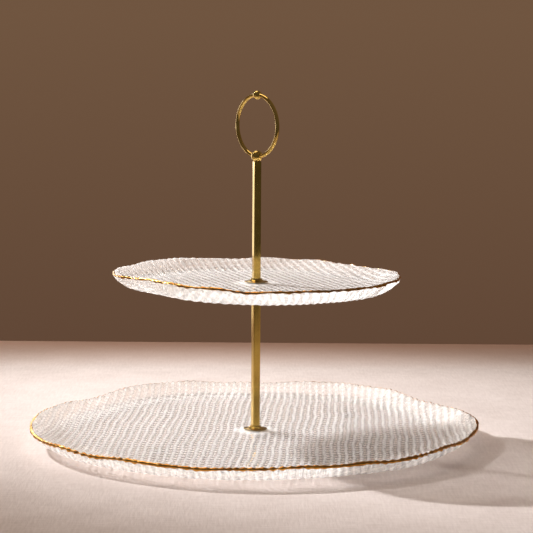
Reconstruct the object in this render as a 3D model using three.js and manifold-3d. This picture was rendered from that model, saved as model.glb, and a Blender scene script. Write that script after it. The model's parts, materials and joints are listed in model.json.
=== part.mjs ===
// Two-tier cake stand: two shallow pressed-glass plates with wavy gilded edges on a square brass
// post in two sections, with a ring handle on top. Millimetres, +Z up, origin on the table under
// the post. Every piece is a separate closed solid.

import * as THREE from 'three';
import { mergeVertices } from 'three/addons/utils/BufferGeometryUtils.js';
import Module from 'manifold-3d';

const wasm = await Module();
wasm.setup();

// ---- Driving dimensions -------------------------------------------------------------------

const OVERALL_HEIGHT = 250;
const FACE_GAP = 0.15; // between faces stacked on the post's axis
const CUT_GAP = 0.3; // round a piece that passes through a hole cut for it

// A plate's edge is a mean radius with a few waves on it. Each wave is [waves per turn, size,
// direction of its crest in degrees]; swells push the outline out and lifts raise the rim.
const LOWER = {
  name: 'lower',
  undersideZ: 3.4,
  floorThickness: 4.0,
  rimThickness: 3.2,
  rimHeight: 12.0, // top of the gilded rim above the underside
  meanRadius: 159,
  flareWidth: 13,
  flarePower: 1.5,
  dishWidth: 37, // from the rim's middle in to the flat serving floor
  swells: [[2, 1.7, 57], [3, 2.3, -29], [5, 1.4, -16], [6, 1.7, 2], [7, 1.5, 9]],
  lifts: [[6, 0.4, -1], [7, 0.6, 14], [9, 0.35, 5]],
  steps: 72,
};
const UPPER = {
  name: 'upper',
  undersideZ: 109.6,
  floorThickness: 4.0,
  rimThickness: 3.2,
  rimHeight: 11.8,
  meanRadius: 98,
  flareWidth: 11,
  flarePower: 1.5,
  dishWidth: 29,
  swells: [[2, 4.0, -33], [3, 1.4, 40], [4, 2.1, -9], [6, 1.3, 4], [7, 1.2, 22]],
  lifts: [[1, 0.8, -159], [3, 0.5, 0], [4, 0.35, -37], [5, 0.4, 3]],
  steps: 60,
};
const DISH_POWER = 2.1;
const PLATE_HOLE_RADIUS = 3.5;
const SEAT_RADIUS = 12; // washers and flanges sit inside it, and the serving floor is outside

// The gilding covers the top of the rim and the upper part of its outer edge.
const GILD_GAP = 0.2;
const GILD_THICKNESS = 0.35;
const GILD_FROM = -5; // degrees round the rim's rounded edge, 0 pointing straight out
const GILD_TO = 115;
const GILD_ARC_STEPS = 3;

const FOOT_HEIGHT = 3.2;
const FOOT_TOP_RADIUS = 5;
const FOOT_BOTTOM_RADIUS = 3.9;
const FOOT_CIRCLE_RADIUS = 95;
const FOOT_COUNT = 4;

const THREAD_RADIUS = 1.5; // M3
const THREAD_BORE_RADIUS = 1.65;
const THREAD_BORE_DEPTH = 8;
const THREAD_ENGAGEMENT = 6.4;
const CLEARANCE_HOLE_RADIUS = 1.8;

const SCREW_HEAD_RADIUS = 3.2;
const SCREW_HEAD_HEIGHT = 1.5;
const SCREW_SLOT_WIDTH = 0.9;
const SCREW_SLOT_DEPTH = 0.6;
const STEEL_WASHER = { radius: 5, thickness: 0.5 };
const SILICONE_WASHER = { radius: 6.5, thickness: 0.7 };

const FLANGE_RADIUS = 8.5;
const FLANGE_EDGE = 0.6;
const FLANGE_SEAT_RADIUS = 3.8;
const FLANGE_HEIGHT = 2.2;

const POST_SIDE = 5;
const POST_CHAMFER = 0.35;
const LOWER_POST_TURN = 22; // degrees about +Z where the thread stops
const UPPER_POST_TURN = 17;

const RING_RADIUS = 21.5; // to the middle of the wire
const RING_WIRE_RADIUS = 1.4;
const RING_TURN = -49; // degrees about +Z
const BEAD_RADIUS = 3.2;
const BALL_RADIUS = 4.2;
const BALL_FLAT = 3.5; // from the ball's centre down to its flat foot
const SPIGOT_RADIUS = 1.1;
const SPIGOT_HEIGHT = 1.1;

const ROUND_STEPS = 24;

// ---- Heights of the stack, worked out from the dimensions above ----------------------------

const lowerFloorZ = LOWER.undersideZ + LOWER.floorThickness;
const lowerTopWasherZ = lowerFloorZ + FACE_GAP;
const lowerFlangeZ = lowerTopWasherZ + SILICONE_WASHER.thickness + FACE_GAP;
const lowerPostZ = lowerFlangeZ + FLANGE_HEIGHT + FACE_GAP;

const underWasherZ = LOWER.undersideZ - FACE_GAP - SILICONE_WASHER.thickness;
const steelWasherZ = underWasherZ - FACE_GAP - STEEL_WASHER.thickness;
const screwHeadTopZ = steelWasherZ - FACE_GAP;

const upperFloorZ = UPPER.undersideZ + UPPER.floorThickness;
const supportWasherZ = UPPER.undersideZ - FACE_GAP - SILICONE_WASHER.thickness;
const supportFlangeTopZ = supportWasherZ - FACE_GAP;
const lowerPostTopZ = supportFlangeTopZ - FLANGE_HEIGHT - FACE_GAP;
const upperTopWasherZ = upperFloorZ + FACE_GAP;
const upperFlangeZ = upperTopWasherZ + SILICONE_WASHER.thickness + FACE_GAP;
const upperPostZ = upperFlangeZ + FLANGE_HEIGHT + FACE_GAP;

const ringCentreZ = OVERALL_HEIGHT - BEAD_RADIUS - RING_RADIUS;
const ballCentreZ = ringCentreZ - RING_RADIUS;
const upperPostTopZ = ballCentreZ - BALL_FLAT - FACE_GAP;

// ---- Materials ------------------------------------------------------------------------------

const GLASS = { color: 0xf2f1ed, roughness: 0.12, metalness: 0, transparent: true, opacity: 0.4 };
const GILDING = { color: 0xc98a3a, roughness: 0.22, metalness: 1 };
const BRASS = { color: 0xb8924a, roughness: 0.24, metalness: 1 };
const STEEL = { color: 0xb9bcbe, roughness: 0.35, metalness: 1 };
const SILICONE = { color: 0xe9e8e4, roughness: 0.5, metalness: 0, transparent: true, opacity: 0.6 };

// ---- Helpers --------------------------------------------------------------------------------

const radians = THREE.MathUtils.degToRad;

// A named mesh, added to the stand or to one of its turned groups.
function addPiece(parent, name, geometry, finish) {
  const mesh = new THREE.Mesh(geometry, new THREE.MeshStandardMaterial(finish));
  mesh.name = name;
  parent.add(mesh);
  return mesh;
}

// A geometry as a solid that can be cut and joined.
function solidOf(geometry) {
  const bare = geometry.clone();
  bare.deleteAttribute('normal');
  bare.deleteAttribute('uv');
  const merged = mergeVertices(bare, 1e-5);
  return new wasm.Manifold(new wasm.Mesh({
    numProp: 3,
    vertProperties: new Float32Array(merged.attributes.position.array),
    triVerts: new Uint32Array(merged.index.array),
  }));
}

// A cut solid back as a geometry.
function geometryOf(solid) {
  const mesh = solid.getMesh();
  const geometry = new THREE.BufferGeometry();
  geometry.setAttribute('position', new THREE.BufferAttribute(mesh.vertProperties, 3));
  geometry.setIndex(new THREE.BufferAttribute(mesh.triVerts, 1));
  geometry.computeVertexNormals();
  return geometry;
}

// A profile of [radius, height] points turned about the Z axis.
function turned(profile, steps = ROUND_STEPS) {
  const points = profile.map(([radius, height]) => new THREE.Vector2(radius, height));
  const geometry = new THREE.LatheGeometry(points, steps);
  geometry.rotateX(Math.PI / 2);
  return geometry;
}

// A plain cylinder standing on a height.
function rod(radius, bottomZ, topZ) {
  return turned([[0, bottomZ], [radius, bottomZ], [radius, topZ], [0, topZ]]);
}

// A flat ring standing on a height.
function washer(outerRadius, holeRadius, bottomZ, thickness) {
  const topZ = bottomZ + thickness;
  return turned([
    [holeRadius, bottomZ],
    [outerRadius, bottomZ],
    [outerRadius, topZ],
    [holeRadius, topZ],
    [holeRadius, bottomZ],
  ]);
}

// A closed loop of sections, each a closed outline, skinned into one solid.
function skinned(sections) {
  const count = sections[0].length;
  const position = [];
  const index = [];
  for (const section of sections) {
    for (const point of section) {
      position.push(point.x, point.y, point.z);
    }
  }
  for (let s = 0; s < sections.length; s += 1) {
    const next = (s + 1) % sections.length;
    for (let p = 0; p < count; p += 1) {
      const q = (p + 1) % count;
      const a = s * count + p;
      const b = s * count + q;
      const c = next * count + q;
      const d = next * count + p;
      index.push(a, d, b, b, d, c);
    }
  }
  const geometry = new THREE.BufferGeometry();
  geometry.setAttribute('position', new THREE.Float32BufferAttribute(position, 3));
  geometry.setIndex(index);
  geometry.computeVertexNormals();
  return geometry;
}

// ---- Plates ---------------------------------------------------------------------------------

// The sum of a list of waves at an angle.
function waveSum(waves, angle) {
  return waves.reduce(
    (sum, [count, size, crest]) => sum + size * Math.cos(count * (angle - radians(crest))),
    0,
  );
}

// The middle of the outline's own box, so that the post stands at the middle of the plate.
function outlineMiddle(plate) {
  const box = new THREE.Box2();
  for (let step = 0; step < 360; step += 1) {
    const angle = radians(step);
    const radius = plate.meanRadius + waveSum(plate.swells, angle);
    box.expandByPoint(new THREE.Vector2(radius * Math.cos(angle), radius * Math.sin(angle)));
  }
  return box.getCenter(new THREE.Vector2());
}

// One plate section at an angle: where the middle of the glass runs, and how thick it is. The
// radial distances and heights grow from 0 at the floor's edge to 1 at the rounded rim.
function plateSection(plate, angle, middle) {
  const shift = middle.x * Math.cos(angle) + middle.y * Math.sin(angle);
  const outlineRadius = plate.meanRadius + waveSum(plate.swells, angle) - shift;
  const rimTopZ = plate.undersideZ + plate.rimHeight + waveSum(plate.lifts, angle);
  const skin = GILD_GAP + GILD_THICKNESS;
  const rimRadius = outlineRadius - skin - plate.rimThickness / 2;
  const rimZ = rimTopZ - skin - plate.rimThickness / 2;
  const floorZ = plate.undersideZ + plate.floorThickness / 2;
  const startRadius = rimRadius - plate.flareWidth;
  const rise = rimZ - floorZ;
  const at = (u) => {
    const slope = (rise * plate.flarePower * u ** (plate.flarePower - 1)) / plate.flareWidth;
    return {
      radius: startRadius + plate.flareWidth * u,
      z: floorZ + rise * u ** plate.flarePower,
      lean: Math.atan(slope),
      half: THREE.MathUtils.lerp(plate.floorThickness, plate.rimThickness, u) / 2,
    };
  };
  return at;
}

// A point of a section, off the middle of the glass in a direction given in degrees, 90 being
// square to the surface on its upper side and 0 pointing out along it.
function offMiddle(angle, place, direction, distance) {
  const turn = radians(direction) + place.lean;
  const radius = place.radius + distance * Math.cos(turn);
  const z = place.z + distance * Math.sin(turn);
  return new THREE.Vector3(radius * Math.cos(angle), radius * Math.sin(angle), z);
}

// How much glass fills the corner inside the steep wall, so that the upper side is a gentler dish
// than the underside, at a distance in from the rim's middle.
function dishFill(plate, inward) {
  const halves = (plate.rimThickness + plate.floorThickness) / 2;
  const rise = plate.rimHeight - GILD_GAP - GILD_THICKNESS - halves;
  const gentle = Math.max(1 - inward / plate.dishWidth, 0) ** DISH_POWER;
  const steep = Math.max(1 - inward / plate.flareWidth, 0) ** plate.flarePower;
  return rise * Math.max(gentle - steep, 0);
}

const FLARE_STOPS = [0, 0.4, 0.72, 1];
const DISH_STOPS = [0.45, 0.62, 0.8, 1]; // parts of the dish's width, all inside the steep wall
const RIM_DIRECTIONS = [-45, 0, 45];

function plateGeometry(plate) {
  const middle = outlineMiddle(plate);
  const topZ = plate.undersideZ + plate.floorThickness;
  const sections = [];
  for (let step = 0; step < plate.steps; step += 1) {
    const angle = (2 * Math.PI * step) / plate.steps;
    const at = plateSection(plate, angle, middle);
    const rimRadius = at(1).radius;
    const level = (radius, z) => {
      return new THREE.Vector3(radius * Math.cos(angle), radius * Math.sin(angle), z);
    };
    const section = [level(PLATE_HOLE_RADIUS, plate.undersideZ), level(SEAT_RADIUS, plate.undersideZ)];
    for (const stop of FLARE_STOPS) {
      section.push(offMiddle(angle, at(stop), -90, at(stop).half));
    }
    for (const direction of RIM_DIRECTIONS) {
      section.push(offMiddle(angle, at(1), direction, at(1).half));
    }
    for (const stop of [...FLARE_STOPS].reverse()) {
      const point = offMiddle(angle, at(stop), 90, at(stop).half);
      const inward = rimRadius - Math.hypot(point.x, point.y);
      point.z += stop < 1 ? dishFill(plate, inward) : 0;
      section.push(point);
    }
    for (const stop of DISH_STOPS) {
      const inward = stop * plate.dishWidth;
      section.push(level(rimRadius - inward, topZ + dishFill(plate, inward)));
    }
    section.push(level(SEAT_RADIUS, topZ), level(PLATE_HOLE_RADIUS, topZ));
    sections.push(section);
  }
  return skinned(sections);
}

// The fired-on gold along the rim, as a thin band wrapped over its rounded edge.
function gildingGeometry(plate) {
  const middle = outlineMiddle(plate);
  const sections = [];
  for (let step = 0; step < plate.steps; step += 1) {
    const angle = (2 * Math.PI * step) / plate.steps;
    const rim = plateSection(plate, angle, middle)(1);
    const inner = rim.half + GILD_GAP;
    const outer = inner + GILD_THICKNESS;
    const section = [];
    const levelFrom = GILD_FROM - THREE.MathUtils.radToDeg(rim.lean);
    const levelTo = GILD_TO - THREE.MathUtils.radToDeg(rim.lean);
    for (let arc = 0; arc <= GILD_ARC_STEPS; arc += 1) {
      const direction = THREE.MathUtils.lerp(levelFrom, levelTo, arc / GILD_ARC_STEPS);
      section.push(offMiddle(angle, rim, direction, outer));
    }
    for (let arc = GILD_ARC_STEPS; arc >= 0; arc -= 1) {
      const direction = THREE.MathUtils.lerp(levelFrom, levelTo, arc / GILD_ARC_STEPS);
      section.push(offMiddle(angle, rim, direction, inner));
    }
    sections.push(section);
  }
  return skinned(sections);
}

function addPlate(stand, plate) {
  addPiece(stand, `${plate.name}_plate`, plateGeometry(plate), GLASS);
  addPiece(stand, `${plate.name}_gold_edge`, gildingGeometry(plate), GILDING);
}

// ---- Feet, screw and washers ----------------------------------------------------------------

// Round silicone bumpers that keep the screw head off the table.
function addFeet(stand) {
  const profile = [
    [0, 0],
    [FOOT_BOTTOM_RADIUS, 0],
    [FOOT_TOP_RADIUS, FOOT_HEIGHT * 0.6],
    [FOOT_TOP_RADIUS, FOOT_HEIGHT],
    [0, FOOT_HEIGHT],
  ];
  for (let foot = 0; foot < FOOT_COUNT; foot += 1) {
    const angle = (2 * Math.PI * (foot + 0.5)) / FOOT_COUNT;
    const mesh = addPiece(stand, `foot_${foot + 1}`, turned(profile, 20), SILICONE);
    const x = FOOT_CIRCLE_RADIUS * Math.cos(angle);
    const y = FOOT_CIRCLE_RADIUS * Math.sin(angle);
    mesh.position.set(x, y, 0);
  }
}

// The low-headed slotted screw that holds the lower plate to the post from below.
function addBaseScrew(stand) {
  const bottomZ = screwHeadTopZ - SCREW_HEAD_HEIGHT;
  const tipZ = lowerPostZ + THREAD_ENGAGEMENT;
  const body = solidOf(turned([
    [0, bottomZ],
    [SCREW_HEAD_RADIUS - 0.6, bottomZ],
    [SCREW_HEAD_RADIUS, bottomZ + 0.7],
    [SCREW_HEAD_RADIUS, screwHeadTopZ],
    [THREAD_RADIUS, screwHeadTopZ],
    [THREAD_RADIUS, tipZ - 0.4],
    [THREAD_RADIUS - 0.4, tipZ],
    [0, tipZ],
  ]));
  const slotLength = 4 * SCREW_HEAD_RADIUS;
  const slot = new THREE.BoxGeometry(slotLength, SCREW_SLOT_WIDTH, 2 * SCREW_SLOT_DEPTH);
  slot.translate(0, 0, bottomZ);
  addPiece(stand, 'base_screw', geometryOf(body.subtract(solidOf(slot))), BRASS);
}

function addWashers(stand) {
  const { radius, thickness } = SILICONE_WASHER;
  const silicone = [
    ['base_silicone_washer', underWasherZ],
    ['lower_silicone_washer', lowerTopWasherZ],
    ['support_silicone_washer', supportWasherZ],
    ['upper_silicone_washer', upperTopWasherZ],
  ];
  for (const [name, bottomZ] of silicone) {
    addPiece(stand, name, washer(radius, CLEARANCE_HOLE_RADIUS, bottomZ, thickness), SILICONE);
  }
  addPiece(
    stand,
    'base_steel_washer',
    washer(STEEL_WASHER.radius, CLEARANCE_HOLE_RADIUS, steelWasherZ, STEEL_WASHER.thickness),
    STEEL,
  );
}

// ---- Flanges, posts and stud ----------------------------------------------------------------

// A thin round flange that flares from the post down to the washer. Upside down it carries a
// plate from below.
function flangeGeometry(bottomZ, upsideDown) {
  const half = [
    [CLEARANCE_HOLE_RADIUS, 0],
    [FLANGE_RADIUS, 0],
    [FLANGE_RADIUS, FLANGE_EDGE],
    [0.55 * FLANGE_RADIUS + 0.45 * FLANGE_SEAT_RADIUS, 0.5 * FLANGE_HEIGHT],
    [FLANGE_SEAT_RADIUS, FLANGE_HEIGHT],
    [CLEARANCE_HOLE_RADIUS, FLANGE_HEIGHT],
    [CLEARANCE_HOLE_RADIUS, 0],
  ];
  const profile = upsideDown
    ? half.map(([radius, height]) => [radius, FLANGE_HEIGHT - height]).reverse()
    : half;
  const geometry = turned(profile, 32);
  geometry.translate(0, 0, bottomZ);
  return geometry;
}

// A square bar with chamfered corners, before its ends are bored.
function squareBar(bottomZ, topZ) {
  const half = POST_SIDE / 2;
  const near = half - POST_CHAMFER;
  const corners = [
    [half, -near], [half, near], [near, half], [-near, half],
    [-half, near], [-half, -near], [-near, -half], [near, -half],
  ];
  const outline = new THREE.Shape(corners.map(([x, y]) => new THREE.Vector2(x, y)));
  const geometry = new THREE.ExtrudeGeometry(outline, { depth: topZ - bottomZ, bevelEnabled: false });
  geometry.translate(0, 0, bottomZ);
  return geometry;
}

// The lower post takes the base screw in its foot and the joining stud in its head.
function lowerPostGeometry() {
  const footBore = rod(THREAD_BORE_RADIUS, lowerPostZ - 1, lowerPostZ + THREAD_BORE_DEPTH);
  const headBore = rod(THREAD_BORE_RADIUS, lowerPostTopZ - THREAD_BORE_DEPTH, lowerPostTopZ + 1);
  return geometryOf(
    solidOf(squareBar(lowerPostZ, lowerPostTopZ)).subtract(solidOf(footBore)).subtract(solidOf(headBore)),
  );
}

// The upper post screws on to the stud and ends in a spigot that the ball is brazed to.
function upperPostGeometry() {
  const footBore = rod(THREAD_BORE_RADIUS, upperPostZ - 1, upperPostZ + THREAD_BORE_DEPTH);
  const spigot = rod(SPIGOT_RADIUS, upperPostTopZ - 1, upperPostTopZ + SPIGOT_HEIGHT);
  return geometryOf(
    solidOf(squareBar(upperPostZ, upperPostTopZ)).subtract(solidOf(footBore)).add(solidOf(spigot)),
  );
}

// The stud that joins the two posts through the upper plate.
function studGeometry() {
  const bottomZ = lowerPostTopZ - THREAD_BORE_DEPTH + 0.5;
  const topZ = upperPostZ + THREAD_ENGAGEMENT;
  return turned([
    [0, bottomZ],
    [THREAD_RADIUS - 0.4, bottomZ],
    [THREAD_RADIUS, bottomZ + 0.4],
    [THREAD_RADIUS, topZ - 0.4],
    [THREAD_RADIUS - 0.4, topZ],
    [0, topZ],
  ]);
}

function addPosts(stand) {
  const lowerPost = addPiece(stand, 'lower_post', lowerPostGeometry(), BRASS);
  lowerPost.rotation.z = radians(LOWER_POST_TURN);
  const upperPost = addPiece(stand, 'upper_post', upperPostGeometry(), BRASS);
  upperPost.rotation.z = radians(UPPER_POST_TURN);
  addPiece(stand, 'joining_stud', studGeometry(), STEEL);
  addPiece(stand, 'lower_flange', flangeGeometry(lowerFlangeZ, false), BRASS);
  addPiece(stand, 'support_flange', flangeGeometry(supportFlangeTopZ - FLANGE_HEIGHT, true), BRASS);
  addPiece(stand, 'upper_flange', flangeGeometry(upperFlangeZ, false), BRASS);
}

// ---- Ring handle ----------------------------------------------------------------------------

// The wire ring stands in the XZ plane of its own turned group, centred on that group's origin.
function wireRing(wireRadius, ringSteps, wireSteps) {
  const geometry = new THREE.TorusGeometry(RING_RADIUS, wireRadius, wireSteps, ringSteps);
  geometry.rotateX(Math.PI / 2);
  return geometry;
}

// The small bead that covers the joint in the wire, threaded on to it.
function beadGeometry(tunnel) {
  const bead = new THREE.SphereGeometry(BEAD_RADIUS, 20, 12);
  bead.translate(0, 0, RING_RADIUS);
  return geometryOf(solidOf(bead).subtract(tunnel));
}

// The ball on top of the post: crossed by the ring, flat underneath, bored for the spigot.
function ballGeometry(tunnel) {
  const ball = new THREE.SphereGeometry(BALL_RADIUS, 24, 16);
  ball.translate(0, 0, -RING_RADIUS);
  const flatZ = -RING_RADIUS - BALL_FLAT;
  const offcut = new THREE.BoxGeometry(4 * BALL_RADIUS, 4 * BALL_RADIUS, BALL_RADIUS);
  offcut.translate(0, 0, flatZ - BALL_RADIUS / 2);
  const socketTop = flatZ - FACE_GAP + SPIGOT_HEIGHT + CUT_GAP;
  const socket = rod(SPIGOT_RADIUS + CUT_GAP, flatZ - 1, socketTop);
  return geometryOf(
    solidOf(ball).subtract(tunnel).subtract(solidOf(offcut)).subtract(solidOf(socket)),
  );
}

function addRingHandle(stand) {
  const handle = new THREE.Group();
  handle.position.z = ringCentreZ;
  handle.rotation.z = radians(RING_TURN);
  stand.add(handle);
  const tunnel = solidOf(wireRing(RING_WIRE_RADIUS + CUT_GAP, 48, 12));
  addPiece(handle, 'handle_ring', wireRing(RING_WIRE_RADIUS, 48, 10), BRASS);
  addPiece(handle, 'handle_bead', beadGeometry(tunnel), BRASS);
  addPiece(handle, 'handle_ball', ballGeometry(tunnel), BRASS);
}

// ---- The stand ------------------------------------------------------------------------------

const stand = new THREE.Group();
addPlate(stand, LOWER);
addPlate(stand, UPPER);
addFeet(stand);
addBaseScrew(stand);
addWashers(stand);
addPosts(stand);
addRingHandle(stand);

export default stand;
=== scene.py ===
"""Looks of the two-tier cake stand: pressed glass plates with gilded edges on a square brass post.

Lengths in the constants are millimetres; MM turns them into the frame's metres.
"""

import json
import math

import bpy
import numpy as np
from mathutils import Euler, Matrix, Vector
from mathutils.geometry import delaunay_2d_cdt

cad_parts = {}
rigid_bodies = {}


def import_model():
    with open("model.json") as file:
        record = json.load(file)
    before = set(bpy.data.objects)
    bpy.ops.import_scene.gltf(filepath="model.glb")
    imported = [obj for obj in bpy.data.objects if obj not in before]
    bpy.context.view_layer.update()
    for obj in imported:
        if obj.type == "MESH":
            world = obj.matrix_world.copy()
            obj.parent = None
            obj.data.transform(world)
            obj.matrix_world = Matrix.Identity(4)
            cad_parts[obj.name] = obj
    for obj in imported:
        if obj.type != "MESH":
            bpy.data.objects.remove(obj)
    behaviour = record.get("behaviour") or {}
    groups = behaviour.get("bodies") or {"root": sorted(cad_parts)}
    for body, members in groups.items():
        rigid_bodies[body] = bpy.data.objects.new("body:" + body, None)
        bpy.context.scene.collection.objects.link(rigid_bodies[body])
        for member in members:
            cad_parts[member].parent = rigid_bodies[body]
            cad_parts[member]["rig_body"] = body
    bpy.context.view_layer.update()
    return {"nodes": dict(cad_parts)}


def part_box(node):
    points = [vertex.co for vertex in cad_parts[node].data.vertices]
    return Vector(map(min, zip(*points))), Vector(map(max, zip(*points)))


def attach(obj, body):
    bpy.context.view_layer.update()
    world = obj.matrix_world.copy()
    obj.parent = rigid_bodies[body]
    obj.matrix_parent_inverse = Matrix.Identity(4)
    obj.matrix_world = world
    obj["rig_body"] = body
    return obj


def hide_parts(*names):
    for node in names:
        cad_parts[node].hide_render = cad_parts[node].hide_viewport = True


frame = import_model()

MM = 0.001
TAU = 2 * math.pi

# ---- Driving dimensions ---------------------------------------------------------------------

# The plates' outlines are the same waves as in the CAD: [waves per turn, size, crest in degrees].
# Swells push the outline out and lifts raise the rim. The weave turns with the plate's own making.
LOWER = {
    "node": "lower_plate",
    "gold": "lower_gold_edge",
    "haze": 0.0,
    "floor_thickness": 4.0,
    "rim_thickness": 3.2,
    "rim_height": 12.0,
    "mean_radius": 159,
    "flare_width": 13,
    "flare_power": 1.5,
    "dish_width": 37,
    "swells": [(2, 1.7, 57), (3, 2.3, -29), (5, 1.4, -16), (6, 1.7, 2), (7, 1.5, 9)],
    "lifts": [(6, 0.4, -1), (7, 0.6, 14), (9, 0.35, 5)],
    "ripples": [(13, 0.30, 20), (17, 0.22, 5), (23, 0.22, 0)],
    "weave_turn": -2.75,
    "rim_step": 1.05,
    "rib_steps": (5, 5),
    "gold_reach": (-24, 86),
    "gold_beads": 1.2,
    "scallop_height": 0.50,
    "wall_glow": 0.52,
    "clearness": 0.60,
}
UPPER = {
    "node": "upper_plate",
    "gold": "upper_gold_edge",
    "haze": 0.06,
    "floor_thickness": 4.0,
    "rim_thickness": 3.2,
    "rim_height": 11.8,
    "mean_radius": 98,
    "flare_width": 11,
    "flare_power": 1.5,
    "dish_width": 29,
    "swells": [(2, 4.0, -33), (3, 1.4, 40), (4, 2.1, -9), (6, 1.3, 4), (7, 1.2, 22)],
    "lifts": [(1, 0.8, -159), (3, 0.5, 0), (4, 0.35, -37), (5, 0.4, 3)],
    "ripples": [(9, 0.25, 10), (13, 0.25, 5), (17, 0.20, 0)],
    "weave_turn": 20,
    "rim_step": 0.75,
    "rib_steps": (8, 7),
    "gold_reach": (0, 72),
    "gold_beads": 0.35,
    "scallop_height": 0.22,
    "wall_glow": 0.78,
    "clearness": 0.64,
}
DISH_POWER = 2.1
PLATE_HOLE_RADIUS = 3.5
HOLE_POINTS = 40
GILD_SKIN = 0.6  # leaves room for the lustre, the weave and the scallops inside the CAD outline
INNER = 90  # the direction square to a plate's upper side
OUTER = -90  # the direction square to its underside

RIB_PITCH = 5.1
CROSS_PITCH = 7.4
CROSS_STEPS = 4  # mesh rows to a crossing rib
RIB_HEIGHT = 0.26
CROSS_HEIGHT = 0.15
TOP_RELIEF = 0.5  # how much of the weave shows through to the upper side
SCALLOP_PITCH = 5.8
WASHER_SEAT = 9  # no weave inside this radius
SEAT_FADE = 4  # how far outside the seat the weave reaches its full height

GOLD_STEP = 0.7  # between the points of the gilding along the rim
GOLD_ROWS = 11
GOLD_UNDERSIDE = 0.03  # gap between the glass and the film
GOLD_CROWN = 0.13
GOLD_THINNEST = 0.06

# How milky the pressed glass looks between its ribs, and how much more on their crests. The
# same pair serves as the value of a groove and what a crest adds to it.
MILK_TOP = (0.03, 0.48)
MILK_UNDER_FLOOR = (0.04, 0.24)
MILK_OUTER_WALL = (0.38, 0.54)
WALL_HAZE = (6, 7)  # how far inside the floor's edge the haze starts, and how far past it ends
MILK_DISH = 0.12  # how much milkier the crests are over the dished part of the upper side
DISH_FADE = 10  # how far inside the dish its milkiness reaches its full value
MILK_HUB = (0.55, 10, 17)  # the frosted hub round the post: how milky, and the radii it fades between
MILK_MOST = 0.95
SHADE_FLOOR = 0.20  # the share of a lamp's light that each side of the floor holds back
SHADE_WALL = 0.34
GLOW_FLOOR = 0.35  # the share of the milky light that comes through from the other side
LENS_RIBS = (0.05, 3.2)  # light through a groove, and how much more falls through a crest
LENS_FLUTES = 0.85  # how far the rim's waves gather the light that the wall lets through

# ---- Mesh helpers ---------------------------------------------------------------------------


def add_mesh(name, points, faces, smooth=True):
    """A mesh object from points in millimetres."""
    mesh = bpy.data.meshes.new(name)
    mesh.from_pydata((np.asarray(points, float) * MM).tolist(), [], faces)
    mesh.polygons.foreach_set("use_smooth", [smooth] * len(mesh.polygons))
    mesh.update()
    piece = bpy.data.objects.new(name, mesh)
    bpy.context.scene.collection.objects.link(piece)
    return piece


def stand_for(piece, node, material, edge_angle=None):
    """The piece replaces a CAD node, rides on its body and takes a finish."""
    piece.data.materials.clear()
    piece.data.materials.append(material)
    if edge_angle is not None:
        piece.data.set_sharp_from_angle(angle=math.radians(edge_angle))
    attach(piece, frame["nodes"][node]["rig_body"])
    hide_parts(node)
    return piece


def ring_points(radius, z, steps, turn=0.0):
    """A level circle, or a wavy one if radius or z is an array over its steps."""
    angle = TAU * np.arange(steps) / steps + turn
    return np.stack([radius * np.cos(angle), radius * np.sin(angle), z + 0 * angle], 1)


def skin_rings(rings, closed=False):
    """Quads between rings of the same length. A ring of one point closes an end."""
    points, faces, starts = [], [], []
    for ring in rings:
        starts.append(len(points))
        points.extend(ring)
    pairs = list(zip(range(len(rings)), range(1, len(rings))))
    if closed:
        pairs.append((len(rings) - 1, 0))
    for first, second in pairs:
        a, b = starts[first], starts[second]
        count = max(len(rings[first]), len(rings[second]))
        for i in range(count):
            j = (i + 1) % count
            if len(rings[first]) == 1:
                faces.append((a, b + j, b + i))
            elif len(rings[second]) == 1:
                faces.append((a + i, a + j, b))
            else:
                faces.append((a + i, a + j, b + j, b + i))
    return points, faces


def ring_quads(rings, count):
    """Quads between rings of the same number of points, numbered one ring after another."""
    faces = []
    for ring in range(rings - 1):
        a, b = ring * count, (ring + 1) * count
        for i in range(count):
            j = (i + 1) % count
            faces.append((a + i, a + j, b + j, b + i))
    return faces


def filleted(profile, radius, closed=False, steps=4):
    """A profile of (radius, z) points with its corners rounded."""
    points = [np.array(p, float) for p in profile]
    result = []
    count = len(points)
    for k, corner in enumerate(points):
        if not closed and k in (0, count - 1):
            result.append(corner)
            continue
        before, after = points[k - 1] - corner, points[(k + 1) % count] - corner
        reach = min(radius, 0.45 * np.linalg.norm(before), 0.45 * np.linalg.norm(after))
        start = corner + before / np.linalg.norm(before) * reach
        end = corner + after / np.linalg.norm(after) * reach
        for t in np.linspace(0, 1, steps + 1):
            result.append((1 - t) ** 2 * start + 2 * t * (1 - t) * corner + t**2 * end)
    return result


def lathe(name, profile, steps=96, closed=False, z=0.0):
    """A profile of (radius, z) points turned about Z. Points on the axis close the ends."""
    rings = []
    for radius, height in profile:
        if radius < 1e-6:
            rings.append(np.array([[0, 0, height + z]]))
        else:
            rings.append(ring_points(radius, height + z, steps))
    return add_mesh(name, *skin_rings(rings, closed))


def box_mm(node):
    """A CAD node's lowest and highest corners in millimetres."""
    low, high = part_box(node)
    return np.array(low) / MM, np.array(high) / MM


# ---- Materials ------------------------------------------------------------------------------


def new_material(name):
    material = bpy.data.materials.new(name)
    material.use_nodes = True
    tree = material.node_tree
    shader = tree.nodes["Principled BSDF"]
    return material, tree, shader


def add_node(tree, kind, **values):
    """A shader node with its settings, and its inputs given by name."""
    node = tree.nodes.new(kind)
    for key, value in values.items():
        if key in node.inputs:
            node.inputs[key].default_value = value
        else:
            setattr(node, key, value)
    return node


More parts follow.
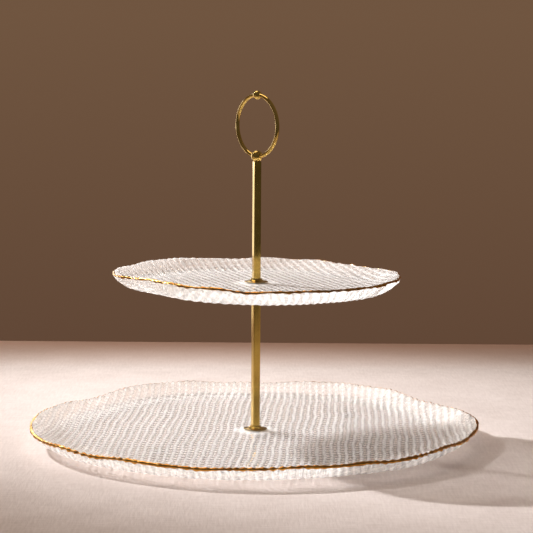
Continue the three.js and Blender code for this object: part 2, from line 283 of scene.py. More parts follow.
def noise(tree, scale, detail=3.0, stretch=(1, 1, 1), roughness=0.5):
    """Noise over the object's own coordinates, stretched along an axis where wanted."""
    coordinates = add_node(tree, "ShaderNodeTexCoord")
    mapping = add_node(tree, "ShaderNodeMapping")
    mapping.inputs["Scale"].default_value = stretch
    texture = add_node(tree, "ShaderNodeTexNoise", Scale=scale, Detail=detail, Roughness=roughness)
    tree.links.new(coordinates.outputs["Object"], mapping.inputs["Vector"])
    tree.links.new(mapping.outputs["Vector"], texture.inputs["Vector"])
    return texture.outputs["Fac"]


def spread(tree, value, low, high, from_low=0.3, from_high=0.7):
    """A value spread over a new range."""
    node = add_node(tree, "ShaderNodeMapRange")
    node.inputs["From Min"].default_value = from_low
    node.inputs["From Max"].default_value = from_high
    node.inputs["To Min"].default_value = low
    node.inputs["To Max"].default_value = high
    tree.links.new(value, node.inputs["Value"])
    return node.outputs["Result"]


def blend_colours(tree, value, first, second):
    """A colour between two others, each three numbers or another node's output."""
    node = add_node(tree, "ShaderNodeMix", data_type="RGBA")
    # the colour sockets share their names with the node's other kinds, so they are found by type
    sockets = [socket for socket in node.inputs if socket.type == "RGBA"]
    for socket, colour in zip(sockets, (first, second)):
        if isinstance(colour, tuple):
            socket.default_value = (*colour, 1)
        else:
            tree.links.new(colour, socket)
    tree.links.new(value, node.inputs["Factor"])
    return next(socket for socket in node.outputs if socket.type == "RGBA")


def add_bump(tree, shader, value, distance, strength=1.0):
    node = add_node(tree, "ShaderNodeBump", Strength=strength, Distance=distance * MM)
    tree.links.new(value, node.inputs["Height"])
    tree.links.new(node.outputs["Normal"], shader.inputs["Normal"])


def metal(name, dark, light, rough, grain, grain_depth, grain_stretch=(1, 1, 1)):
    """A lacquered metal: two tones in broad patches, a grain, and a roughness that varies."""
    material, tree, shader = new_material(name)
    shader.inputs["Metallic"].default_value = 1.0
    patches = spread(tree, noise(tree, 90, 4.0), 0, 1)
    tree.links.new(blend_colours(tree, patches, dark, light), shader.inputs["Base Color"])
    wear = noise(tree, 260, 3.0, grain_stretch)
    tree.links.new(spread(tree, wear, *rough), shader.inputs["Roughness"])
    add_bump(tree, shader, noise(tree, grain, 4.0, grain_stretch), grain_depth)
    return material


def glass_material():
    """Clear pressed glass, milky where it is patterned, that lets lamps through its ribs."""
    material, tree, shader = new_material("pressed_glass")
    shader.inputs["Base Color"].default_value = (0.985, 0.975, 0.965, 1)
    shader.inputs["IOR"].default_value = 1.5
    shader.inputs["Transmission Weight"].default_value = 1.0
    seeds = noise(tree, 420, 2.0)
    tree.links.new(spread(tree, seeds, 0.03, 0.10), shader.inputs["Roughness"])
    add_bump(tree, shader, noise(tree, 300, 3.0), 0.05)
    output = tree.nodes["Material Output"]

    white = add_node(tree, "ShaderNodeBsdfDiffuse")
    white.inputs["Color"].default_value = (0.95, 0.91, 0.88, 1)
    glow = add_node(tree, "ShaderNodeBsdfTranslucent")
    glow.inputs["Color"].default_value = (0.95, 0.92, 0.89, 1)
    milk = add_node(tree, "ShaderNodeMixShader")
    glow_here = add_node(tree, "ShaderNodeAttribute", attribute_name="glow")
    tree.links.new(glow_here.outputs["Fac"], milk.inputs["Fac"])
    tree.links.new(white.outputs["BSDF"], milk.inputs[1])
    tree.links.new(glow.outputs["BSDF"], milk.inputs[2])

    milkiness_here = add_node(tree, "ShaderNodeAttribute", attribute_name="milk")
    grain = add_node(tree, "ShaderNodeMath", operation="ADD", use_clamp=True)
    tree.links.new(milkiness_here.outputs["Fac"], grain.inputs[0])
    tree.links.new(spread(tree, noise(tree, 520, 3.0), -0.16, 0.16), grain.inputs[1])
    body = add_node(tree, "ShaderNodeMixShader")
    tree.links.new(grain.outputs["Value"], body.inputs["Fac"])
    tree.links.new(shader.outputs["BSDF"], body.inputs[1])
    tree.links.new(milk.outputs["Shader"], body.inputs[2])

    clear = add_node(tree, "ShaderNodeBsdfTransparent")
    lens_here = add_node(tree, "ShaderNodeAttribute", attribute_name="lens")
    tree.links.new(lens_here.outputs["Fac"], clear.inputs["Color"])
    lamp_ray = add_node(tree, "ShaderNodeLightPath")
    mix = add_node(tree, "ShaderNodeMixShader")
    tree.links.new(lamp_ray.outputs["Is Shadow Ray"], mix.inputs["Fac"])
    tree.links.new(body.outputs["Shader"], mix.inputs[1])
    tree.links.new(clear.outputs["BSDF"], mix.inputs[2])
    tree.links.new(mix.outputs["Shader"], output.inputs["Surface"])
    return material


def silicone_material():
    material, tree, shader = new_material("clear_silicone")
    cloud = noise(tree, 240, 2.0)
    tree.links.new(
        blend_colours(tree, spread(tree, cloud, 0, 1), (0.78, 0.77, 0.74), (0.90, 0.89, 0.87)),
        shader.inputs["Base Color"],
    )
    shader.inputs["Transmission Weight"].default_value = 0.7
    shader.inputs["IOR"].default_value = 1.41
    tree.links.new(spread(tree, noise(tree, 700, 2.0), 0.3, 0.5), shader.inputs["Roughness"])
    add_bump(tree, shader, noise(tree, 900, 2.0), 0.02)
    return material


# ---- Plates ---------------------------------------------------------------------------------


def wave_sum(waves, angle):
    return sum(size * np.cos(count * (angle - math.radians(crest))) for count, size, crest in waves)


def outline_middle(plate):
    """The middle of the outline's own box, where the post stands."""
    angle = np.radians(np.arange(360))
    radius = plate["mean_radius"] + wave_sum(plate["swells"], angle)
    x, y = radius * np.cos(angle), radius * np.sin(angle)
    return (x.min() + x.max()) / 2, (y.min() + y.max()) / 2


def floor_edge(plate, angle):
    """Where the middle of the glass leaves the flat floor for the wall, and how wide the wall is."""
    middle_x, middle_y = plate["middle"]
    outline = plate["mean_radius"] + wave_sum(plate["swells"], angle)
    outline = outline - middle_x * np.cos(angle) - middle_y * np.sin(angle)
    return outline - GILD_SKIN - plate["rim_thickness"] / 2 - plate["flare_width"]


def section(plate, angle, u):
    """The middle of the glass at u, from -1 at the hole past 0 at the wall to 1 at the rim.

    Gives its radius, its height, how far the wall leans and half the glass's thickness there.
    """
    waves = wave_sum(plate["lifts"] + plate["ripples"], angle)
    rim_z = plate["underside"] + plate["rim_height"] + waves - GILD_SKIN - plate["rim_thickness"] / 2
    floor_z = plate["underside"] + plate["floor_thickness"] / 2
    rise, width, power = rim_z - floor_z, plate["flare_width"], plate["flare_power"]
    start = floor_edge(plate, angle)
    flare = np.maximum(u, 0.0)
    radius = start + width * flare + (start - PLATE_HOLE_RADIUS) * np.minimum(u, 0.0)
    slope = rise * power * flare ** (power - 1) / width
    thinning = plate["rim_thickness"] - plate["floor_thickness"]
    half = (plate["floor_thickness"] + thinning * flare) / 2
    return radius, floor_z + rise * flare**power, np.arctan(slope), half


def weave_turn(plate):
    turn = math.radians(plate["weave_turn"])
    return math.cos(turn), math.sin(turn)


def weave(plate, x, y):
    """The pressed weave, as wavy ribs one way and finer ribs across them, each from -1 to 1."""
    c, s = weave_turn(plate)
    across, along = x * c + y * s, y * c - x * s
    sway = 0.35 * np.sin(along / 11.3 + 0.8 * np.sin(across / 17))
    sway = sway + 0.6 * np.sin(along / 29 + across / 19)
    sway = sway + 0.18 * np.sin(along / 4.7 + 2.5 * np.sin(across / 13))
    drift = 0.9 * np.sin(across / 8.9 + 0.8 * np.sin(along / 21))
    drift = drift + 0.7 * np.sin(across / 15.7 - along / 27)
    rib = np.cos(TAU * (across + sway) / RIB_PITCH)
    cross = np.cos(TAU * (along + drift) / CROSS_PITCH)
    return rib, cross


def relief(plate, x, y):
    """Height of the weave in millimetres, uneven as cloth is."""
    rib, cross = weave(plate, x, y)
    uneven = 0.8 + 0.2 * np.sin(x / 11.3 + 1.7) * np.sin(y / 9.7)
    seat = np.clip((np.hypot(x, y) - WASHER_SEAT) / SEAT_FADE, 0, 1)
    return seat * uneven * (RIB_HEIGHT * rib + CROSS_HEIGHT * cross * (1 - 0.45 * rib))


def rim_waves(plate, angle):
    """The rim's own small waves, from -1 to 1."""
    arc = angle * plate["mean_radius"]
    waves = round(TAU * plate["mean_radius"] / SCALLOP_PITCH)
    return np.sin(waves * angle + 1.6 * np.sin(arc / 13) + 1.3 * np.sin(arc / 7.3))


def scallops(plate, angle, u):
    """How far the rim's waves cut in, dying out a few millimetres inside it."""
    arc = angle * plate["mean_radius"]
    uneven = 0.6 + 0.4 * np.sin(arc / 9.3 + 1) * np.sin(arc / 17)
    return plate["scallop_height"] * uneven * (rim_waves(plate, angle) - 1) * np.maximum(u, 0.0) ** 3


def relief_share(direction):
    """The weave is pressed into the underside, and fades over the rounded rim to the top."""
    start = -60
    t = np.clip((direction - start) / (INNER - start), 0, 1)
    return 1 - (1 - TOP_RELIEF) * t * t * (3 - 2 * t)


def dish(plate, angle, radius, direction):
    """How far the upper side fills the corner inside the wall, to a gentler dish."""
    inward = floor_edge(plate, angle) + plate["flare_width"] - radius
    rise = plate["rim_height"] - GILD_SKIN - (plate["rim_thickness"] + plate["floor_thickness"]) / 2
    gentle = np.clip(1 - inward / plate["dish_width"], 0, 1) ** DISH_POWER
    steep = np.clip(1 - inward / plate["flare_width"], 0, 1) ** plate["flare_power"]
    start = 20
    share = np.clip((direction - start) / (INNER - start), 0, 1)
    return rise * np.maximum(gentle - steep, 0) * share


def plate_point(plate, angle, u, direction, lift=0.0):
    """Points of a plate's surface, in a direction from the middle of the glass, in degrees."""
    radius, z, lean, half = section(plate, angle, u)
    turn = np.radians(direction) + lean
    x, y = radius * np.cos(angle), radius * np.sin(angle)
    distance = half + lift + relief_share(direction) * relief(plate, x, y) + scallops(plate, angle, u)
    radius = radius + distance * np.cos(turn)
    z = z + distance * np.sin(turn) + dish(plate, angle, radius, direction)
    return np.stack([radius * np.cos(angle), radius * np.sin(angle), z], 1)


def wall_stations(plate):
    """The wall's rings as (u, direction): up the outside, over the rim and down the inside."""
    wall_length = 1.3 * plate["flare_width"]
    up = np.linspace(0, 1, round(wall_length / (1.5 * plate["rim_step"])))
    outside = [(u, OUTER) for u in up]
    over = [(1.0, direction) for direction in np.linspace(OUTER, INNER, 9)[1:-1]]
    return outside + over + [(u, INNER) for u in up[::-1]]


def floor_grid(plate, rib_steps):
    """Angle and u of points over the flat floor, in rows along the ribs."""
    reach = 1.1 * plate["mean_radius"]
    columns = np.arange(-reach, reach, RIB_PITCH / rib_steps)
    rows = np.arange(-reach, reach, CROSS_PITCH / CROSS_STEPS)
    across, along = (values.ravel() for values in np.meshgrid(columns, rows))
    c, s = weave_turn(plate)
    x, y = across * c - along * s, across * s + along * c
    angle, radius = np.arctan2(y, x), np.hypot(x, y)
    edge = floor_edge(plate, angle)
    clear = 0.6 * plate["rim_step"]
    inside = (radius < edge - clear) & (radius > PLATE_HOLE_RADIUS + clear)
    u = (radius - edge) / (edge - PLATE_HOLE_RADIUS)
    return angle[inside], u[inside]


def fill_floor(plate, edge, hole, grid):
    """Triangles between a floor's edge, its hole and the points on it, each given as angle and u."""
    flat = []
    for angle, u in (edge, hole, grid):
        radius = section(plate, angle, u)[0]
        flat.append(np.stack([radius * np.cos(angle), radius * np.sin(angle)], 1))
    count, holes = len(edge[0]), len(hole[0])
    loops = [list(range(count)), list(range(count, count + holes))]
    points = [Vector(point) for point in np.concatenate(flat)]
    triangles = delaunay_2d_cdt(points, [], loops, 1, 1e-6, False)[2]
    hole_corners = set(loops[1])
    return np.array([face for face in triangles if not hole_corners.issuperset(face)])


def finish_by_place(plate, points, u, direction):
    """Values of points for the glass: how milky it is, how it glows, and what light it passes."""
    rib, cross = weave(plate, points[:, 0], points[:, 1])
    crest = 0.85 * np.clip((rib + 0.55) / 1.5, 0, 1) ** 1.4 + 0.30 * np.clip(cross, 0, 1) ** 2
    angle, radius = np.arctan2(points[:, 1], points[:, 0]), np.hypot(points[:, 0], points[:, 1])
    edge = floor_edge(plate, angle)
    past_edge = np.where(u > 0, u * plate["flare_width"], u * (edge - PLATE_HOLE_RADIUS))
    wall = np.clip((past_edge + WALL_HAZE[0]) / (WALL_HAZE[0] + WALL_HAZE[1]), 0, 1)
    upper = direction >= INNER / 2

    groove, gain = (
        np.where(upper, top, floor + (outer - floor) * wall)
        for top, floor, outer in zip(MILK_TOP, MILK_UNDER_FLOOR, MILK_OUTER_WALL)
    )
    hub, near, far = MILK_HUB
    frosted = hub * np.clip((far - radius) / (far - near), 0, 1)
    inward = edge + plate["flare_width"] - radius
    over_dish = np.clip((plate["dish_width"] - inward) / DISH_FADE, 0, 1)
    dished = MILK_DISH * over_dish * (direction > INNER / 2)
    milk = np.clip(groove + (gain + dished) * crest + frosted + plate["haze"], 0, MILK_MOST)

    glow = GLOW_FLOOR + (plate["wall_glow"] - GLOW_FLOOR) * wall * ~upper

    shade = SHADE_FLOOR + (SHADE_WALL - SHADE_FLOOR) * wall
    through_ribs = LENS_RIBS[0] + LENS_RIBS[1] * np.clip(rib, 0, 1) ** 2
    through_flutes = 1 + LENS_FLUTES * wall * rim_waves(plate, angle)
    lens = plate["clearness"] * (1 - shade) * through_flutes * np.where(direction < 0, through_ribs, 1.0)
    return {"milk": milk, "glow": glow, "lens": lens}


def make_plate(plate, material):
    """Two floors of fine triangles, joined through the hole and by rings over the wall."""
    count = round(TAU * plate["mean_radius"] / plate["rim_step"])
    around, bore = TAU * np.arange(count) / count, TAU * np.arange(HOLE_POINTS) / HOLE_POINTS
    stations = wall_stations(plate)
    layout = [(around, np.full(count, u), np.full(count, direction)) for u, direction in stations]
    faces = ring_quads(len(stations), count)
    hole_starts = []
    used = len(stations) * count
    floor_rings = (0, len(stations) - 1)
    for side, rib_steps, ring in zip((OUTER, INNER), plate["rib_steps"], floor_rings):
        hole = (bore, np.full(HOLE_POINTS, -1.0))
        grid = floor_grid(plate, rib_steps)
        triangles = fill_floor(plate, layout[ring][:2], hole, grid)
        if side == OUTER:
            triangles = triangles[:, ::-1]
        added = HOLE_POINTS + len(grid[0])
        places = np.concatenate([ring * count + np.arange(count), used + np.arange(added)])
        faces += places[triangles].tolist()
        layout += [(angle, u, np.full(len(angle), side)) for angle, u in (hole, grid)]
        hole_starts.append(used)
        used += added
    below, above = hole_starts
    for i in range(HOLE_POINTS):
        j = (i + 1) % HOLE_POINTS
        faces.append((below + i, above + i, above + j, below + j))
    angle, u, direction = (np.concatenate(values) for values in zip(*layout))
    points = plate_point(plate, angle, u, direction)
    piece = add_mesh(plate["node"] + "_glass", points, faces)
    for name, values in finish_by_place(plate, points, u, direction).items():
        attribute = piece.data.attributes.new(name, "FLOAT", "POINT")
        attribute.data.foreach_set("value", values.astype(np.float32))
    return stand_for(piece, plate["node"], material)


def make_gilding(plate, material):
    """The fired gold: a thin film over the rim with an uneven hand-painted border."""
    steps = round(TAU * plate["mean_radius"] / GOLD_STEP)
    angle = TAU * np.arange(steps) / steps
    lean = np.degrees(section(plate, angle, 1.0)[2])
    arc = angle * plate["mean_radius"]
    start, end = plate["gold_reach"]
    low = start - lean + 12 * np.sin(arc / 1.3) * np.sin(arc / 11.7 + 1) + 9 * np.sin(arc / 4.1)
    high = end - lean + 10 * np.sin(arc / 5.3 + 2) + 6 * np.sin(arc / 2.1)
    bead = 0.208 * np.sin(arc / 0.62 + 1.5 * np.sin(arc / 9.0)) + 0.08 * np.sin(arc / 0.37 + 2)
    bead = plate["gold_beads"] * bead
    outside, inside = [], []
    for t in np.linspace(0, 1, GOLD_ROWS):
        direction = low + (high - low) * t
        crown = np.maximum(GOLD_CROWN + bead * math.sin(math.pi * t), GOLD_THINNEST)
        outside.append(plate_point(plate, angle, 1.0, direction, crown))
        inside.append(plate_point(plate, angle, 1.0, direction, GOLD_UNDERSIDE))
    piece = add_mesh(plate["gold"] + "_film", *skin_rings(outside + inside[::-1], closed=True))
    return stand_for(piece, plate["gold"], material)


# ---- Screw, washers and feet ----------------------------------------------------------------

THREAD_PITCH = 0.5
THREAD_DEPTH = 0.3
THREAD_ROWS = 6  # mesh rows to one turn of the thread
SHANK_RADIUS = 1.5
SLOT_WIDTH = 0.9
SLOT_DEPTH = 0.6
CLEARANCE_HOLE_RADIUS = 1.8  # in washers and flanges
JOINT_GAP = 0.15  # between two pieces that touch


def thread_rings(radius, bottom, top, steps=40, taper=0.4):
    """Rings of a right-hand thread between two heights, tapered at its upper end."""
    rings = []
    rows = round((top - bottom) / (THREAD_PITCH / THREAD_ROWS))
    angle = TAU * np.arange(steps) / steps
    for row in range(rows + 1):
        z = bottom + (top - bottom) * row / rows
        phase = (z / THREAD_PITCH - angle / TAU) % 1
        groove = THREAD_DEPTH * np.abs(2 * phase - 1)
        inset = max(0.0, taper - (top - z))
        rings.append(ring_points(radius - np.maximum(groove, inset), z, steps))
    return rings


def make_stud(material):
    low, high = box_mm("joining_stud")
    radius = (high[0] - low[0]) / 2
    tip = ring_points(radius - 0.5, low[2], 40)
    rings = [np.array([[0, 0, low[2]]]), tip]
    rings += thread_rings(radius, low[2] + 0.3, high[2])
    rings.append(np.array([[0, 0, high[2]]]))
    piece = add_mesh("joining_stud_thread", *skin_rings(rings))
    return stand_for(piece, "joining_stud", material, 40)


def make_screw(material):
    """A low slotted head under a threaded shank."""
    low, high = box_mm("base_screw")
    bottom, head = low[2], (high[0] - low[0]) / 2
    head_top = box_mm("base_steel_washer")[0][2] - JOINT_GAP
    underside = [(0, bottom), (head - 0.5, bottom), (head, bottom + 0.6)]
    profile = filleted(underside + [(head, head_top), (SHANK_RADIUS, head_top)], 0.25)
    rings = [np.array([[0, 0, bottom]])]
    rings += [ring_points(radius, z, 40) for radius, z in profile[1:]]
    rings += thread_rings(SHANK_RADIUS, head_top + 0.05, high[2])
    rings.append(np.array([[0, 0, high[2]]]))
    piece = add_mesh("base_screw_slotted", *skin_rings(rings))
    bpy.ops.mesh.primitive_cube_add(size=1, location=(0, 0, bottom * MM))
    slot = bpy.context.object
    slot.scale = (4 * head * MM, SLOT_WIDTH * MM, 2 * SLOT_DEPTH * MM)
    cut = piece.modifiers.new("slot", "BOOLEAN")
    cut.object = slot
    cut.operation = "DIFFERENCE"
    cut.solver = "EXACT"
    apply_modifiers(piece)
    bpy.data.objects.remove(slot)
    return stand_for(piece, "base_screw", material, 40)


def apply_modifiers(piece):
    """Replaces a piece's mesh by what its modifiers make of it."""
    bpy.context.view_layer.update()
    evaluated = piece.evaluated_get(bpy.context.evaluated_depsgraph_get())
    mesh = bpy.data.meshes.new_from_object(evaluated)
    piece.modifiers.clear()
    piece.data = mesh


def make_washer(node, material):
    low, high = box_mm(node)
    outer, hole = (high[0] - low[0]) / 2, CLEARANCE_HOLE_RADIUS
    profile = [(hole, low[2]), (outer, low[2]), (outer, high[2]), (hole, high[2])]
    profile = filleted(profile, 0.3 * (high[2] - low[2]), closed=True)
    piece = lathe(node + "_ring", profile, closed=True)
    return stand_for(piece, node, material, 50)


def make_foot(node, material):
    low, high = box_mm(node)
    outer, height = (high[0] - low[0]) / 2, high[2]
    profile = [(0, 0), (0.72 * outer, 0), (0.97 * outer, 0.5 * height), (outer, height), (0, height)]
    piece = lathe(node + "_bumper", filleted(profile, 0.9, steps=6), 64)
    centre = (low + high) / 2
    piece.data.transform(Matrix.Translation(Vector((centre[0], centre[1], 0)) * MM))
    return stand_for(piece, node, material, 50)


# ---- Flanges, posts and handle --------------------------------------------------------------

FLANGE_EDGE = 0.45  # thickness at the flange's edge
FLANGE_SEAT_RADIUS = 3.8  # of the flat that the post stands on
POST_SIDE = 5.0
POST_ROUNDING = 0.3
POST_BEVEL = 0.18
POST_LEVELS = 24
BORE_RADIUS = 1.62
BORE_DEPTH = 8.0
BORE_TIP = 0.6
SPIGOT_RADIUS = 1.1
LOWER_POST_TURN = 22
UPPER_POST_TURN = 17
RING_TURN = -49
RING_WIRE = 1.4
RING_STEPS = 192
WIRE_STEPS = 28


def make_flange(node, material):
    """A spun flange: thin at the edge, sweeping up in a hollow curve to the post."""
    low, high = box_mm(node)
    outer, height = (high[0] - low[0]) / 2, high[2] - low[2]
    start = outer - 0.25
    sweep = []
    for t in np.linspace(0, 1, 14):
        radius = start + (FLANGE_SEAT_RADIUS - start) * t
        sweep.append((radius, FLANGE_EDGE + (height - FLANGE_EDGE) * (0.3 * t + 0.7 * t**6)))
    lip = [(outer - 0.2, 0), (outer, 0.2), (outer - 0.05, FLANGE_EDGE - 0.1)]
    profile = [(CLEARANCE_HOLE_RADIUS, 0)] + lip + sweep + [(CLEARANCE_HOLE_RADIUS, height)]
    if node == "support_flange":
        profile = [(radius, height - z) for radius, z in profile[::-1]]
    piece = lathe(node + "_spun", profile, 128, closed=True, z=low[2])
    return stand_for(piece, node, material, 35)


def square_outline(half, rounding, corner_steps=5, side_steps=4):
    """Points round a square with rounded corners, as an array of x and y."""
    middle = (half - rounding) * math.sqrt(2)
    corners = []
    for base in TAU / 4 * np.arange(4):
        angle = base + TAU / 4 * np.arange(corner_steps + 1) / corner_steps
        x = middle * math.cos(base + TAU / 8) + rounding * np.cos(angle)
        y = middle * math.sin(base + TAU / 8) + rounding * np.sin(angle)
        corners.append(np.column_stack([x, y]))
    points = []
    for corner, following in zip(corners, corners[1:] + corners[:1]):
        start, end = corner[-1], following[0]
        points += list(corner)
        points += [start + (end - start) * step / side_steps for step in range(1, side_steps)]
    return np.array(points)


def make_post(node, turn, bores, material):
    """A square bar with softened edges, bored where a thread goes in."""
    low, high = box_mm(node)
    bottom, top = low[2], high[2]
    if node == "upper_post":
        top = box_mm("handle_ball")[0][2] - JOINT_GAP
    full = square_outline(POST_SIDE / 2, POST_ROUNDING)
    slim = square_outline(POST_SIDE / 2 - POST_BEVEL, POST_ROUNDING)
    unit_circle = slim / np.linalg.norm(slim, axis=1)[:, None]

    def level(outline, z):
        return np.column_stack([outline, np.full(len(outline), z)])

    def tip(z):
        return np.array([[0, 0, z]])

    bore = BORE_RADIUS * unit_circle
    rings = []
    if "bottom" in bores:
        end = bottom + BORE_DEPTH
        rings += [tip(end + BORE_TIP), level(bore, end), level(bore, bottom)]
    else:
        rings.append(tip(bottom))
    rings.append(level(slim, bottom))
    rings += [level(full, z) for z in np.linspace(bottom + POST_BEVEL, top - POST_BEVEL, POST_LEVELS)]
    rings.append(level(slim, top))
    if "top" in bores:
        end = top - BORE_DEPTH
        rings += [level(bore, top), level(bore, end), tip(end - BORE_TIP)]
    else:
        spigot = SPIGOT_RADIUS * unit_circle
        rings += [level(spigot, top), level(spigot, high[2]), tip(high[2])]
    piece = add_mesh(node + "_bar", *skin_rings(rings))
    piece.data.transform(Euler((0, 0, math.radians(turn))).to_matrix().to_4x4())
    return stand_for(piece, node, material, 30)


def sphere_rings(radius, centre_z, flat_z=None, rows=40, steps=64):
    """Rings of a ball from its foot, which may be cut flat, to its top."""
    rings = []
    for row in range(1, rows):
        polar = math.pi * row / rows
        z = centre_z - radius * math.cos(polar)
        if flat_z is None or z > flat_z:
            rings.append(ring_points(radius * math.sin(polar), z, steps))
    if flat_z is None:
        rings.insert(0, np.array([[0, 0, centre_z - radius]]))
    else:
        cut = math.sqrt(radius**2 - (centre_z - flat_z) ** 2)
        rings.insert(0, ring_points(cut, flat_z, steps))
        rings.insert(0, np.array([[0, 0, flat_z]]))
    rings.append(np.array([[0, 0, centre_z + radius]]))
    return rings


def make_handle(material):
    """The wire ring, the ball it crosses on the post and the bead over its joint."""
    low, high = box_mm("handle_ring")
    radius = (high[2] - low[2]) / 2 - RING_WIRE
    centre_z = (high[2] + low[2]) / 2
    turn = math.radians(RING_TURN)
    around = TAU * np.arange(WIRE_STEPS) / WIRE_STEPS
    reach, off = radius + RING_WIRE * np.cos(around), RING_WIRE * np.sin(around)
    rings = []
    for step in range(RING_STEPS):
        angle = TAU * step / RING_STEPS
        side = reach * math.sin(angle)
        x = side * math.cos(turn) - off * math.sin(turn)
        y = side * math.sin(turn) + off * math.cos(turn)
        rings.append(np.column_stack([x, y, centre_z + reach * math.cos(angle)]))
    ring = add_mesh("handle_ring_wire", *skin_rings(rings, closed=True))
    stand_for(ring, "handle_ring", material)

    low, high = box_mm("handle_bead")
    rings = sphere_rings((high[2] - low[2]) / 2, (high[2] + low[2]) / 2)
    bead = add_mesh("handle_bead_round", *skin_rings(rings))
    stand_for(bead, "handle_bead", material)

    low, high = box_mm("handle_ball")
    radius = (high[0] - low[0]) / 2
    rings = sphere_rings(radius, high[2] - radius, low[2])
    ball = add_mesh("handle_ball_round", *skin_rings(rings))
    stand_for(ball, "handle_ball", material, 40)


# ---- Stage, lights and camera ---------------------------------------------------------------

# Metres from here on.
TABLE_DEPTH = 0.88
TABLE_WIDTH = 2.2
TABLE_FAR_SHADE = (0.34, 0.5)  # painted shade: where the far end darkens to brown as the lamp's light falls off, in depths from the table's middle
THREAD_SCALE = 620
THREAD_STRETCH = 0.12

CAMERA_PLACE = (0.0072, -1.4447, 0.3027)
CAMERA_LENS = 138.5  # millimetres, on a 36 mm wide sensor
CAMERA_DOWN = 6.994  # degrees
CAMERA_ROLL = 0.42


def make_table():
    """A table top under pale linen, with painted shade that darkens its far end to brown."""
    bpy.ops.mesh.primitive_plane_add(size=1)
    table = bpy.context.object
    table.name = "table"
    table.scale = (TABLE_WIDTH, TABLE_DEPTH, 1)
    material, tree, shader = new_material("pale_linen")
    # the stretches undo the table's own scale, so that the threads keep their true widths
    tone = noise(tree, 30, 3.0, (TABLE_WIDTH, TABLE_DEPTH, 1))
    warp = noise(tree, THREAD_SCALE, 2.0, (TABLE_WIDTH, THREAD_STRETCH * TABLE_DEPTH, 1))
    weft = noise(tree, THREAD_SCALE, 2.0, (THREAD_STRETCH * TABLE_WIDTH, TABLE_DEPTH, 1))
    threads = add_node(tree, "ShaderNodeMath", operation="ADD")
    tree.links.new(spread(tree, warp, 0, 0.5), threads.inputs[0])
    tree.links.new(spread(tree, weft, 0, 0.5), threads.inputs[1])
    shade = add_node(tree, "ShaderNodeMath", operation="MULTIPLY_ADD")
    tree.links.new(threads.outputs["Value"], shade.inputs[0])
    shade.inputs[1].default_value = 0.7
    tree.links.new(spread(tree, tone, 0, 0.3), shade.inputs[2])
    linen = blend_colours(tree, shade.outputs["Value"], (0.575, 0.472, 0.425), (0.755, 0.65, 0.60))
    place = add_node(tree, "ShaderNodeSeparateXYZ")
    tree.links.new(add_node(tree, "ShaderNodeTexCoord").outputs["Object"], place.inputs["Vector"])
    # painted shade: the linen darkens to brown towards the far end, standing in for the light falling
    # off there
    far = spread(tree, place.outputs["Y"], 0, 1, *TABLE_FAR_SHADE)
    tree.links.new(blend_colours(tree, far, linen, (0.50, 0.30, 0.22)), shader.inputs["Base Color"])
    shader.inputs["Roughness"].default_value = 0.85
    shader.inputs["Specular IOR Level"].default_value = 0.2
    add_bump(tree, shader, threads.outputs["Value"], 0.1, 0.8)
    table.data.materials.append(material)


def make_world():
    """A warm brown backdrop behind, and a dark studio in front and overhead."""
    world = bpy.data.worlds.new("studio")
    bpy.context.scene.world = world
    world.use_nodes = True
    tree = world.node_tree
    background = tree.nodes["Background"]
    coordinates = add_node(tree, "ShaderNodeTexCoord")
    split = add_node(tree, "ShaderNodeSeparateXYZ")
    tree.links.new(coordinates.outputs["Generated"], split.inputs["Vector"])
    height = spread(tree, split.outputs["Z"], 0, 1, -1, 1)

    def colours_by_height(*stops):
        ramp = add_node(tree, "ShaderNodeValToRGB")
        tree.links.new(height, ramp.inputs["Fac"])
        elements = ramp.color_ramp.elements
        elements[0].position, elements[0].color = stops[0][0], (*stops[0][1], 1)
        elements[1].position, elements[1].color = stops[-1][0], (*stops[-1][1], 1)
        for position, colour in stops[1:-1]:
            elements.new(position).color = (*colour, 1)
        return ramp.outputs["Color"]

    dome = (0.135, 0.104, 0.082)
    behind = colours_by_height(
        (0.0, (0.10, 0.07, 0.05)),
        (0.42, (0.120, 0.064, 0.038)),
        (0.50, (0.162, 0.092, 0.052)),
        (0.58, (0.150, 0.095, 0.060)),
        (0.75, (0.20, 0.15, 0.11)),
        (1.0, dome),
    )
    front = colours_by_height(
        (0.0, (0.08, 0.07, 0.06)),
        (0.50, (0.095, 0.085, 0.074)),
        (1.0, dome),
    )
    towards_back = spread(tree, split.outputs["Y"], 0, 1, -0.1, 0.5)
    tree.links.new(blend_colours(tree, towards_back, front, behind), background.inputs["Color"])


def aim(lamp, azimuth, elevation, distance, target):
    """Places a lamp that looks at a target. Azimuth 0 is behind the camera, 90 to its right."""
    a, e = math.radians(azimuth), math.radians(elevation)
    place = Vector((math.sin(a) * math.cos(e), -math.cos(a) * math.cos(e), math.sin(e))) * distance
    lamp_object = bpy.data.objects.new(lamp.name, lamp)
    bpy.context.scene.collection.objects.link(lamp_object)
    lamp_object.location = Vector(target) + place
    lamp_object.rotation_euler = place.to_track_quat("Z", "Y").to_euler()
    return lamp_object


def add_spot(name, power, colour, cone, radius, **placing):
    lamp = bpy.data.lights.new(name, "SPOT")
    lamp.energy, lamp.color = power, colour
    lamp.spot_size, lamp.spot_blend = math.radians(cone), 1.0
    lamp.shadow_soft_size = radius
    # its light through the glass is counted once
    lamp.cycles.use_multiple_importance_sampling = False
    return aim(lamp, **placing)


def add_area(name, power, colour, size, target=(0, 0, 0.1), **placing):
    lamp = bpy.data.lights.new(name, "AREA")
    lamp.shape = "RECTANGLE"
    lamp.size, lamp.size_y = size
    lamp.energy, lamp.color = power, colour
    return aim(lamp, target=target, **placing)


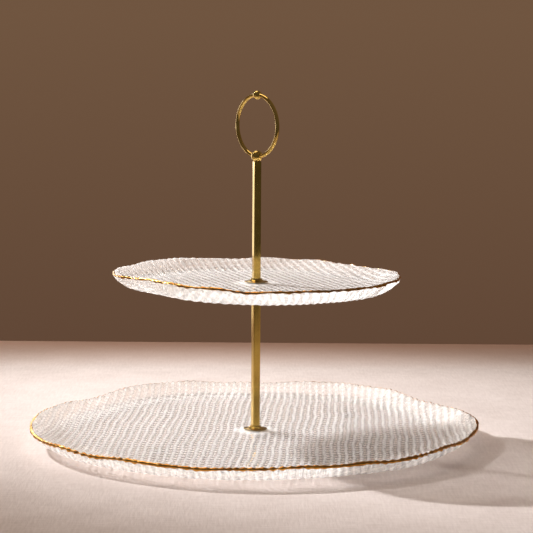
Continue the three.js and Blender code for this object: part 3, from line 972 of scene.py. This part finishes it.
def make_lights():
    """A hard key from the left and behind, soft lamps overhead and behind, and a wide fill."""
    cool = (0.91, 0.955, 1.0)
    right = (0.11, 0.03, 0)
    add_spot("key", 287, cool, 22, 0.03, azimuth=-118.3, elevation=36, distance=2.1, target=right)
    warm = (1.0, 0.85, 0.73)
    add_area("overhead", 14, warm, (1.3, 1.3), azimuth=-140, elevation=64, distance=2.2)
    daylight = (1.0, 0.97, 0.93)
    add_area("left_window", 3, daylight, (0.9, 0.5), azimuth=-146, elevation=8, distance=1.6)
    pale = (1.0, 0.98, 0.96)
    add_area("back_window", 0.5, pale, (0.50, 0.30), azimuth=-173, elevation=18, distance=2.2)
    ivory = (1.0, 0.95, 0.86)
    add_area("low_card", 0.5, ivory, (0.3, 0.3), azimuth=-146, elevation=-4, distance=0.8)
    fill = add_area("left_fill", 38, pale, (1.2, 0.4), azimuth=-62, elevation=3, distance=1.8)
    fill.visible_glossy = False  # a pale wall too dim to show in the brass


def make_camera():
    """A long lens, 11.8 degrees above the middle of the table and held with a slight roll."""
    camera = bpy.data.cameras.new("camera")
    camera.sensor_width = 36
    camera.lens = CAMERA_LENS
    camera_object = bpy.data.objects.new("camera", camera)
    bpy.context.scene.collection.objects.link(camera_object)
    camera_object.location = CAMERA_PLACE
    tilt = Euler((math.pi / 2 - math.radians(CAMERA_DOWN), 0, 0)).to_matrix()
    roll = Euler((0, 0, math.radians(CAMERA_ROLL))).to_matrix()
    camera_object.rotation_euler = (tilt @ roll).to_euler()
    bpy.context.scene.camera = camera_object


# ---- The stand ------------------------------------------------------------------------------


def make_stand():
    glass = glass_material()
    gilding = metal(
        "gold_lustre",
        dark=(0.40, 0.17, 0.025),
        light=(0.84, 0.43, 0.085),
        rough=(0.12, 0.24),
        grain=500,
        grain_depth=0.08,
    )
    brushed = metal(
        "brushed_brass",
        dark=(0.48, 0.31, 0.065),
        light=(0.62, 0.42, 0.10),
        rough=(0.10, 0.18),
        grain=700,
        grain_depth=0.01,
        grain_stretch=(1, 1, 0.08),
    )
    polished = metal(
        "polished_brass",
        dark=(0.56, 0.37, 0.09),
        light=(0.70, 0.49, 0.14),
        rough=(0.04, 0.09),
        grain=160,
        grain_depth=0.004,
    )
    steel = metal(
        "zinc_steel",
        dark=(0.55, 0.56, 0.57),
        light=(0.70, 0.71, 0.72),
        rough=(0.25, 0.40),
        grain=900,
        grain_depth=0.02,
    )
    silicone = silicone_material()

    for plate in (LOWER, UPPER):
        plate["underside"] = box_mm(plate["node"])[0][2]
        plate["middle"] = outline_middle(plate)
        make_plate(plate, glass)
        make_gilding(plate, gilding)
    for node in sorted(frame["nodes"]):
        if node.startswith("foot_"):
            make_foot(node, silicone)
        elif node.endswith("silicone_washer"):
            make_washer(node, silicone)
        elif node.endswith("flange"):
            make_flange(node, polished)
    make_washer("base_steel_washer", steel)
    make_screw(polished)
    make_stud(steel)
    make_post("lower_post", LOWER_POST_TURN, ("bottom", "top"), brushed)
    make_post("upper_post", UPPER_POST_TURN, ("bottom",), brushed)
    make_handle(polished)


make_stand()
make_table()
make_world()
make_lights()
make_camera()
bpy.context.scene.view_settings.view_transform = "Standard"
